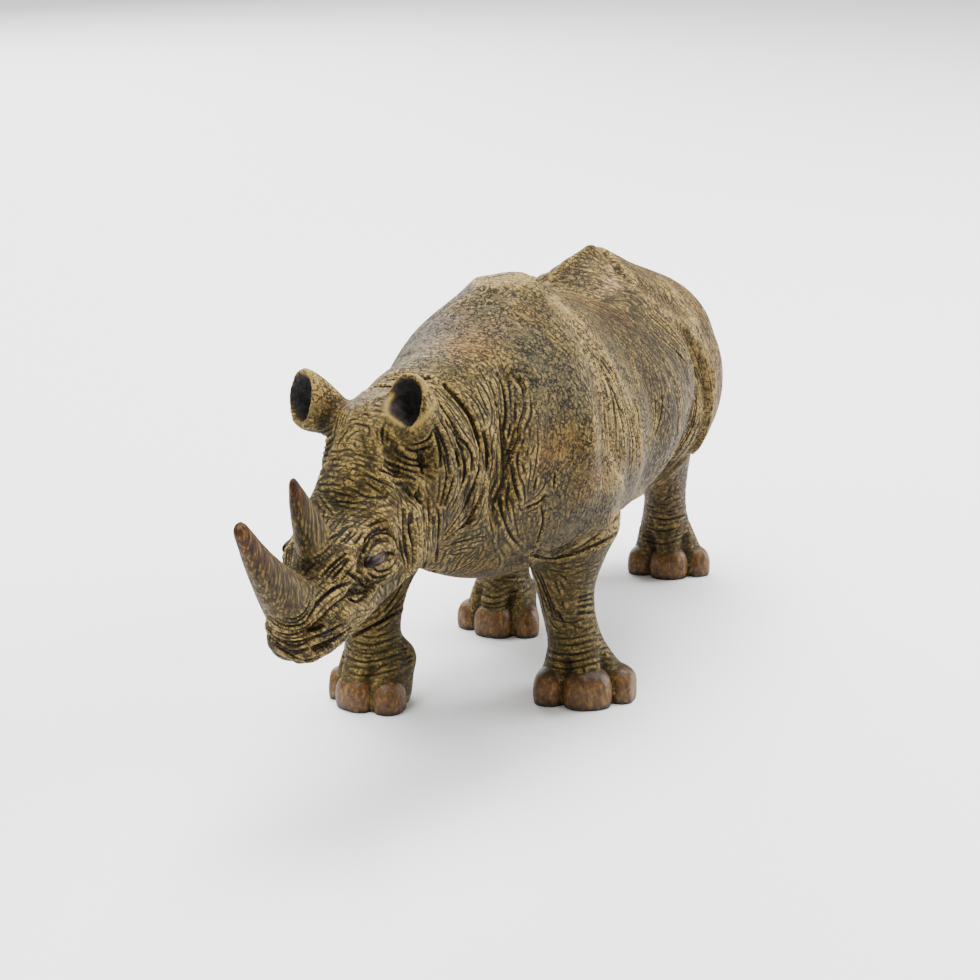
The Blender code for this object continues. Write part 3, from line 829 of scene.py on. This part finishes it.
WARM = [[(452, 312), (456, 330), (462, 350)], [(545, 452), (560, 446)], [(588, 484), (601, 470)],
        [(478, 350), (484, 344)], [(575, 296), (590, 300)]]
COOL = [[(520, 330), (535, 350), (530, 400), (535, 420)], [(510, 325), (505, 335)], [(566, 376), (572, 392)]]
# The last of these brown spots is painted shade on the right face of the hip bone.
BROWN_SPOTS_AND_SHADE = [[(648, 340), (665, 350), (690, 372)], [(604, 320), (625, 322)], [(655, 385), (672, 405), (668, 440)],
         [(600, 265), (606, 273), (611, 280)]]
PAINTED = {
    # Pale paint with painted highlight along the ridges. The rim and hip values are painted highlight on the
    # loin, thigh and hip edges.
    "pale_band_and_highlight": spread([SHOULDER_REAR, FLANK_FRONT, LOIN_OUTER, HIP_EDGE, THIGH_EDGE], 1.8),
    "rim": spread([LOIN_OUTER, THIGH_EDGE], 0.7),
    "hip": spread([HIP_EDGE], 1.1, 0.4),
    "warm": spread(WARM, 3.2),
    "cool": spread(COOL, 4.0),
    "ear_edge": spread([[(392, 395), (387, 403), (386, 411), (391, 418), (401, 425)]], 0.45),
    "brown": spread(BROWN_SPOTS_AND_SHADE, 4.5),
}
for piece in (head_hide, body_hide):
    points = read(piece.data)
    nearest = np.fromiter((uncut_tree.find(point)[1] for point in points), np.int64, len(points))
    normals = uncut_normals[nearest]
    piece.data.normals_split_custom_set_from_vertices(normals.tolist())
    across, near, weight = nearest_line(points, normals)
    part = regions(points, normals)
    plain = (1 - part["horn"]) * (1 - part["ear"])
    keep(piece, "line_across", across)
    keep(piece, "line_near", near)
    keep(piece, "line_weight", weight * plain)
    keep(piece, "hollow_fine", uncut_fine[nearest])
    keep(piece, "hollow_wide", uncut_wide[nearest])
    for name, value in PAINTED.items():
        keep(piece, name, value(points))
    for name in ("face", "legs", "neck", "shoulder", "rump", "under", "horn", "horn_place", "ear_inside",
                 "ear_rim"):
        keep(piece, name, part[name])
    forward, up, side = part["head"].T
    keep(piece, "muzzle", soft(forward, 0.40, 0.50) * soft(up, 0.10, 0.02) * part["face"])
    trunk_flow = points[:, 1] + 0.25 * points[:, 2]
    flow = (1 - part["legs"]) * trunk_flow + part["legs"] * points[:, 2]
    flow = (1 - part["face"]) * flow + part["face"] * forward * SHOULDER
    keep(piece, "flow", flow * 1000)

# %% [markdown]
# Shader sums read better as Python. A Value wraps a socket, and an operator on it adds the Math node.

# %% A shader in Python


class Value:
    """A socket of a shader. Operators on it add Math nodes."""

    def __init__(self, shader, node, output=0):
        self.shader, self.node, self.socket = shader, node, node.outputs[output]

    def math(self, operation, other=None, swapped=False):
        pair = [other, self] if swapped else [self, other]
        return self.shader.add("ShaderNodeMath", {"operation": operation},
                               {i: value for i, value in enumerate(pair) if value is not None})

    def __add__(self, other):
        return self.math("ADD", other)

    def __sub__(self, other):
        return self.math("SUBTRACT", other)

    def __rsub__(self, other):
        return self.math("SUBTRACT", other, swapped=True)

    def __mul__(self, other):
        return self.math("MULTIPLY", other)

    __radd__, __rmul__ = __add__, __mul__

    def most(self, other):
        return self.math("MAXIMUM", other)

    def size(self):
        return self.math("ABSOLUTE")

    def fade(self, low, high):
        """0 at low and 1 at high, with a smooth ramp between."""
        return self.shader.add("ShaderNodeMapRange", {"interpolation_type": "SMOOTHSTEP"},
                               {"Value": self, "From Min": low, "From Max": high})


def socket_name(word):
    return word.replace("_", " ").title().replace("Ior", "IOR")


class Shader:
    """A material on one Principled BSDF."""

    def __init__(self, name, **finish):
        self.material = bpy.data.materials.new(name)
        self.material.use_nodes = True
        self.tree = self.material.node_tree
        self.surface = self.tree.nodes["Principled BSDF"]
        for socket, value in finish.items():
            self.surface.inputs[socket_name(socket)].default_value = value

    def add(self, kind, settings=None, sockets=None, output=0):
        node = self.tree.nodes.new(kind)
        for key, value in (settings or {}).items():
            setattr(node, key, value)
        for key, value in (sockets or {}).items():
            if isinstance(value, Value):
                self.tree.links.new(value.socket, node.inputs[key])
            else:
                node.inputs[key].default_value = value
        return Value(self, node, output)

    def attribute(self, name):
        return self.add("ShaderNodeAttribute", {"attribute_name": name}, output="Fac")

    def mix(self, share, first, second):
        first, second = ((*c, 1) if isinstance(c, tuple) else c for c in (first, second))
        return self.add("ShaderNodeMix", {"data_type": "RGBA"}, {0: share, 6: first, 7: second}, output=2)

    def coats(self, tone, *layers):
        """One colour over another, each by its own share."""
        for share, colour in layers:
            tone = self.mix(share, tone, colour)
        return tone

    def scaled(self, vector, factor):
        return self.add("ShaderNodeVectorMath", {"operation": "SCALE"}, {0: vector, "Scale": factor})

    def grain(self, vector, scale, detail=3.0, rough=0.55):
        sockets = {"Vector": vector, "Scale": scale, "Detail": detail, "Roughness": rough}
        return self.add("ShaderNodeTexNoise", {}, sockets)

    def give(self, **sockets):
        for name, value in sockets.items():
            self.tree.links.new(value.socket, self.surface.inputs[socket_name(name)])


# %% [markdown]
# The hide is olive vinyl under three paints. A thin black wash lies in every furrow, a tan dry brush with
# painted highlight catches what stands out, and ochre is dabbed on the hump, the shoulder and the rump.
# Painted highlight also runs pale along the ridges of the shoulder, flank, loin, hip and thigh, and painted
# shade darkens the undersides, the right face of the hip bone and the ear cups. A line of wash is drawn from
# the distance to the nearest wrinkle, so it stays sharper than the mesh alone could hold it. The very finest
# cracks, too many to draw, run where a noise pattern passes its middle value.

# %% The painted hide
OLIVE, GREY_OLIVE, BROWN = (0.056, 0.040, 0.007), (0.039, 0.032, 0.011), (0.060, 0.030, 0.007)
# The tan here serves as dry brush and as painted highlight.
WASH, TAN_AND_HIGHLIGHT, OCHRE = (0.006, 0.0055, 0.006), (0.34, 0.232, 0.068), (0.190, 0.080, 0.005)
# The pale colour is pale paint and painted highlight on the ridges.
PALE_AND_HIGHLIGHT = (0.50, 0.35, 0.165)
PINK_TAN, MAUVE = (0.120, 0.070, 0.030), (0.034, 0.020, 0.014)
# The umber here also paints shade on the hip bone.
SLATE, UMBER_AND_SHADE = (0.046, 0.043, 0.026), (0.040, 0.021, 0.009)
# The second of these colours is the painted shade on the undersides.
SOOT, UNDERSIDE_SHADE = (0.013, 0.011, 0.008), (0.022, 0.014, 0.005)
# The first of these colours is dark ear paint and painted shade in the ear cups.
EAR_DARK_AND_SHADE, EAR_GREY = (0.007, 0.0065, 0.007), (0.024, 0.021, 0.022)

paint = Shader("painted_hide", specular_ior_level=0.12)
place = paint.add("ShaderNodeTexCoord", output="Object")
mm = paint.scaled(place, 1000.0)
wander = paint.add("ShaderNodeTexNoise", {}, {"Vector": mm, "Scale": 0.55, "Detail": 2.0}, output="Color")
bent = paint.add("ShaderNodeVectorMath", {"operation": "ADD"}, {0: mm, 1: paint.scaled(wander, 1.3)})
grit = paint.grain(mm, 2.4, 4.0, 0.7)
patches = paint.grain(mm, 0.075, 3.0, 0.6)
streaks = paint.grain(bent, 0.45, 4.0, 0.65)
soft_grain = paint.grain(mm, 0.9, 3.0, 0.6)

weight = paint.attribute("line_weight")
gap = paint.attribute("line_across").size().most(paint.attribute("line_near") - 0.10)
ragged = gap + (grit - 0.5) * 0.16
line = (1 - ragged.fade(0.03, 0.20)) * weight.fade(0.02, 0.70)
# A band beside every wrinkle, lit up later as painted highlight on the banks of the folds.
beside = (1 - (gap - 0.42).size().fade(0.05, 0.32)) * weight

pebbles = paint.add("ShaderNodeTexVoronoi", {"feature": "DISTANCE_TO_EDGE"}, {"Vector": bent, "Scale": 1.5})
worms = paint.grain(mm, 1.15, 2.0, 0.5)
flow = paint.attribute("flow")
veins = paint.add("ShaderNodeTexNoise", {"noise_dimensions": "4D"},
                  {"Vector": paint.scaled(bent, 0.26), "W": flow * 1.1, "Scale": 1.0, "Detail": 2.0})
specks = (1 - (worms - 0.5).size().fade(0.018, 0.080)) * streaks.fade(0.32, 0.52)
threads = (1 - (veins - 0.5).size().fade(0.012, 0.060)) * grit.fade(0.30, 0.52)
face, legs, neck = (paint.attribute(name) for name in ("face", "legs", "neck"))
shoulder, rump = paint.attribute("shoulder"), paint.attribute("rump")
cracks = (specks * (0.72 + shoulder * 0.20)).most(threads * (0.90 - shoulder * 0.60)) * (1 - legs * 0.3)
fine, wide = paint.attribute("hollow_fine"), paint.attribute("hollow_wide")
furrow = fine.fade(0.05, 0.16) * 0.5
dark = line.most(furrow).most(cracks)
deep = wide.fade(0.05, 0.50)
raised = beside * 0.85 + (0 - fine).fade(0.0, 0.05) * 0.55 + (0 - wide).fade(0.02, 0.30) * 0.35
loose = 1 - (face * 0.7).most(neck * 0.6)
grains = pebbles.fade(0.10, 0.45) * 0.25 + (worms - 0.5).size().fade(0.05, 0.16) * 0.35
raised = raised + grains * loose + rump * 0.10

dabs = paint.grain(mm, 0.060, 2.0).fade(0.54, 0.64) * streaks.fade(0.35, 0.60)
pale_band_and_highlight, warm, cool, brown = (paint.attribute(name) for name in ("pale_band_and_highlight", "warm", "cool", "brown"))
muzzle = paint.attribute("muzzle")
# Painted highlight with pale paint on the ridge edges of the shoulder, flank, loin, hip and thigh.
edges = (pale_band_and_highlight * 0.55).most(paint.attribute("rim")).most(paint.attribute("hip"))
# Tan dry brush with painted highlight on raised hide, the banks beside the wrinkles and the broad rounded
# forms.
drybrush_and_highlight = raised * grit.fade(0.34, 0.56) * (1 - legs * 0.35) * (1 - cool.most(brown).most(muzzle) * 0.4)
grimy = deep * 0.40 + legs * (0.30 + rump * 0.35) * soft_grain.fade(0.30, 0.6)
# Painted shade: downward-facing hide is darkened, less on the face and more on the shoulder.
shaded = paint.attribute("under") * (1 - face * 0.5) * (0.36 + shoulder * 0.25)
colour = paint.coats(
    OLIVE,
    (patches.fade(0.40, 0.60), GREY_OLIVE),
    (soft_grain.fade(0.50, 0.70) * 0.5, BROWN),
    (rump * 0.55, PINK_TAN),
    (dabs * 0.40, OCHRE),
    (warm * grit.fade(0.36, 0.54) * 0.75, OCHRE),
    (cool * 0.65, SLATE),
    # Brown spots, one of them painted shade on the right face of the hip bone.
    (brown * 0.8, UMBER_AND_SHADE),
    (muzzle * 0.80, MAUVE),
    (edges * grit.fade(0.22, 0.42), PALE_AND_HIGHLIGHT),
    (drybrush_and_highlight, TAN_AND_HIGHLIGHT),
    (grimy, SOOT),
    (shaded, UNDERSIDE_SHADE),
    (dark * 0.95, WASH),
)

HORN, HORN_TIP = (0.040, 0.026, 0.008), (0.050, 0.016, 0.003)
horn, horn_place = paint.attribute("horn"), paint.attribute("horn_place")
lengthwise = (HEAD.to_3x3() @ Vector((0, -0.06, 0.37))).rotation_difference(Vector((0, 0, 1))).to_euler()
turned = paint.add("ShaderNodeMapping", {}, {"Vector": mm, "Rotation": lengthwise, "Scale": (1.0, 1.0, 0.12)})
fibre = paint.grain(turned, 2.2, 4.0, 0.6)
flat = paint.add("ShaderNodeMapping", {}, {"Vector": turned, "Scale": (0.25, 0.25, 9.0)})
ringed = paint.grain(flat, 1.0, 2.0)
horn_colour = paint.coats(
    HORN,
    (horn_place.fade(0.50, 0.96), HORN_TIP),
    (fibre.fade(0.47, 0.40) * (0.5 - horn_place * 0.3), TAN_AND_HIGHLIGHT),
    (fibre.fade(0.53, 0.60) * 0.85, WASH),
    (ringed.fade(0.62, 0.68) * 0.6, WASH),
)
# Near-black ear paint with painted shade inside the ear cups, mottled with grey.
ear_colour = paint.mix(soft_grain.fade(0.4, 0.7), EAR_DARK_AND_SHADE, EAR_GREY)
colour = paint.coats(
    colour,
    (horn, horn_colour),
    (paint.attribute("ear_rim") * 0.6, TAN_AND_HIGHLIGHT),
    (paint.attribute("ear_inside") * 0.95, ear_colour),
    (paint.attribute("ear_edge") * 0.9, TAN_AND_HIGHLIGHT),
)

height = (line * -0.10) + beside * 0.03 - cracks * 0.15 + grit * 0.06 + soft_grain * 0.05
height = height * (1 - horn) + fibre * horn * 0.14
bump = paint.add("ShaderNodeBump", {}, {"Height": height, "Distance": 0.001, "Strength": 1.0})
paint.give(base_color=colour, normal=bump, roughness=0.46 + dark * 0.2 + grit * 0.10)
for piece in (head_hide, body_hide):
    piece.data.materials.clear()
    piece.data.materials.append(paint.material)

# %% [markdown]
# The eyes are long glossy balls, let into the lids, with a dark pupil in a red-brown iris.

# %% Eyes
balls = bmesh.new()
LONG, HIGH, BALL, LID = EYE_WIDE * 0.00120, 0.0014, 0.0012, 0.00025
IRIS, IRIS_RIM, IRIS_FLECK = (0.040, 0.009, 0.003), (0.008, 0.004, 0.003), (0.012, 0.005, 0.003)
PUPIL = (0.003, 0.002, 0.002)
eye_map = []
for centre, normal, way in eyes:
    middle = centre - normal * (BALL + LID)
    turn = Matrix((way, normal.cross(way), normal)).transposed().to_4x4()
    place = Matrix.Translation(middle) @ turn @ Matrix.Diagonal((LONG, HIGH, BALL, 1))
    bmesh.ops.create_uvsphere(balls, u_segments=40, v_segments=28, radius=1, matrix=place)
    eye_map.append((np.array(middle), np.array(normal)))
eyeballs = new_piece("eyes", balls)
eyeballs.data.shade_smooth()
points = read(eyeballs.data)
facing = np.full(len(points), -1.0)
for middle, normal in eye_map:
    ways = unit(points - middle)
    own = np.linalg.norm(points - middle, axis=1) < LONG * 1.01
    facing = np.where(own, ways @ normal, facing)
keep(eyeballs, "facing", facing)
iris = Shader("glossy_eye", specular_ior_level=0.06)
facing = iris.attribute("facing")
speckle = iris.grain(iris.scaled(iris.add("ShaderNodeTexCoord", output="Object"), 1000.0), 5.0, 3.0)
tone = iris.coats(
    IRIS_RIM,
    (facing.fade(0.62, 0.84), IRIS),
    (speckle.fade(0.5, 0.7) * 0.5, IRIS_FLECK),
    (facing.fade(0.970, 0.982), PUPIL),
)
iris.give(base_color=tone, roughness=0.22 + speckle * 0.12)
eyeballs.data.materials.append(iris.material)

# %% [markdown]
# Each foot has three broad nails, smooth and a little glossy. They are rounded blocks, made from a sphere
# whose points are pulled towards a box, and cut flat on the ground.

# %% Toenails
FEET = {
    "left_fore": ((0.170, -0.30), math.radians(25), 1.14),
    "right_fore": ((-0.276, -0.49), math.radians(-24), 1.02),
    "left_hind": ((0.108, 0.683), math.radians(14), 1.0),
    "right_hind": ((-0.158, 0.10), math.radians(-6), 1.0),
}
BOXY = 0.78
NAILS = [
    ((0.000, -0.060, 0.026), (0.051, 0.046, 0.053), 0.0),
    ((0.068, -0.026, 0.024), (0.035, 0.050, 0.049), 0.45),
    ((-0.068, -0.026, 0.024), (0.035, 0.050, 0.049), -0.45),
]


def nail(foot, splay, size, centre, radii, turn):
    shape = bmesh.new()
    bmesh.ops.create_uvsphere(shape, u_segments=48, v_segments=32, radius=1.0)
    for vert in shape.verts:
        vert.co = Vector([math.copysign(abs(value) ** BOXY, value) for value in vert.co])
    stand = Matrix.Translation((foot[0], foot[1], 0)) @ Matrix.Rotation(splay, 4, "Z")
    stand = stand @ Matrix.Scale(size, 4) @ Matrix.Translation(centre) @ Matrix.Rotation(turn, 4, "Z")
    stand = stand @ Matrix.Diagonal((*radii, 1))
    for vert in shape.verts:
        vert.co = metres(stand @ vert.co)
    everything = shape.verts[:] + shape.edges[:] + shape.faces[:]
    bmesh.ops.bisect_plane(shape, geom=everything, plane_co=(0, 0, 0), plane_no=(0, 0, -1), clear_outer=True)
    bmesh.ops.holes_fill(shape, edges=shape.edges, sides=0)
    return shape


nails = bmesh.new()
for foot, splay, size in FEET.values():
    for centre, radii, turn in NAILS:
        one = nail(foot, splay, size, centre, radii, turn)
        mesh = bpy.data.meshes.new("nail")
        one.to_mesh(mesh)
        one.free()
        nails.from_mesh(mesh)
nails = new_piece("toenails", nails)
move(nails, read(nails.data))
nails.data.shade_smooth()

NAIL, NAIL_LIGHT, NAIL_DARK = (0.092, 0.038, 0.005), (0.230, 0.115, 0.022), (0.010, 0.006, 0.004)
horny = Shader("brown_nail", specular_ior_level=0.4)
nail_mm = horny.scaled(horny.add("ShaderNodeTexCoord", output="Object"), 1000.0)
upright = horny.add("ShaderNodeMapping", {}, {"Vector": nail_mm, "Scale": (1.0, 1.0, 0.35)})
scratches = horny.grain(upright, 1.5, 4.0, 0.6)
height_mm = horny.add("ShaderNodeSeparateXYZ", {}, {0: nail_mm}, output="Z")
fleck = horny.grain(nail_mm, 1.3, 3.0, 0.6)
tone = horny.coats(
    NAIL,
    (scratches.fade(0.50, 0.68), NAIL_LIGHT),
    (1 - height_mm.fade(0.1, 1.4), NAIL_DARK),
    (height_mm.fade(4.6, 6.2) * 0.7, NAIL_DARK),
    (scratches.fade(0.44, 0.32) * 0.6, NAIL_DARK),
    (fleck.fade(0.54, 0.64) * 0.6, NAIL_DARK),
    (fleck.fade(0.44, 0.36) * 0.5, NAIL_LIGHT),
)
height = (scratches + fleck) * 0.10
bump = horny.add("ShaderNodeBump", {}, {"Height": height, "Distance": 0.001, "Strength": 1.0})
horny.give(base_color=tone, normal=bump, roughness=0.42 + scratches * 0.15)
nails.data.materials.append(horny.material)

# %% [markdown]
# Nothing on the figurine moves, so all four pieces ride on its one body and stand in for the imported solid.

# %% Riding and naming
for piece in (head_hide, body_hide, eyeballs, nails):
    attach(piece, "root")
    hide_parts("rhinoceros")

# %% [markdown]
# The figurine stands on a white sweep under broad soft lights.

# %% Floor and light
floor = bmesh.new()
bmesh.ops.create_grid(floor, x_segments=1, y_segments=1, size=3.0)
floor = new_piece("floor", floor)
sweep = Shader("white_sweep", roughness=0.9, base_color=(0.95, 0.95, 0.955, 1))
floor.data.materials.append(sweep.material)

world = bpy.data.worlds.new("studio")
bpy.context.scene.world = world
world.use_nodes = True
world.node_tree.nodes["Background"].inputs["Color"].default_value = (1, 1, 1, 1)
world.node_tree.nodes["Background"].inputs["Strength"].default_value = 0.4

for name, place, size, power in (
    ("overhead", (-0.05, 0.10, 0.90), 0.70, 25.0),
    ("key", (-0.30, -0.45, 0.60), 0.35, 2.0),
    ("back right", (0.60, 0.50, 0.35), 0.50, 9.0),
    ("back left", (-0.50, 0.65, 0.40), 0.50, 7.0),
):
    light = bpy.data.objects.new(name, bpy.data.lights.new(name, "AREA"))
    light.data.energy, light.data.size = power, size
    light.location = place
    light.rotation_mode = "QUATERNION"
    light.rotation_quaternion = (Vector(place) - Vector((0, 0, 0.03))).to_track_quat("Z", "Y")
    bpy.context.scene.collection.objects.link(light)
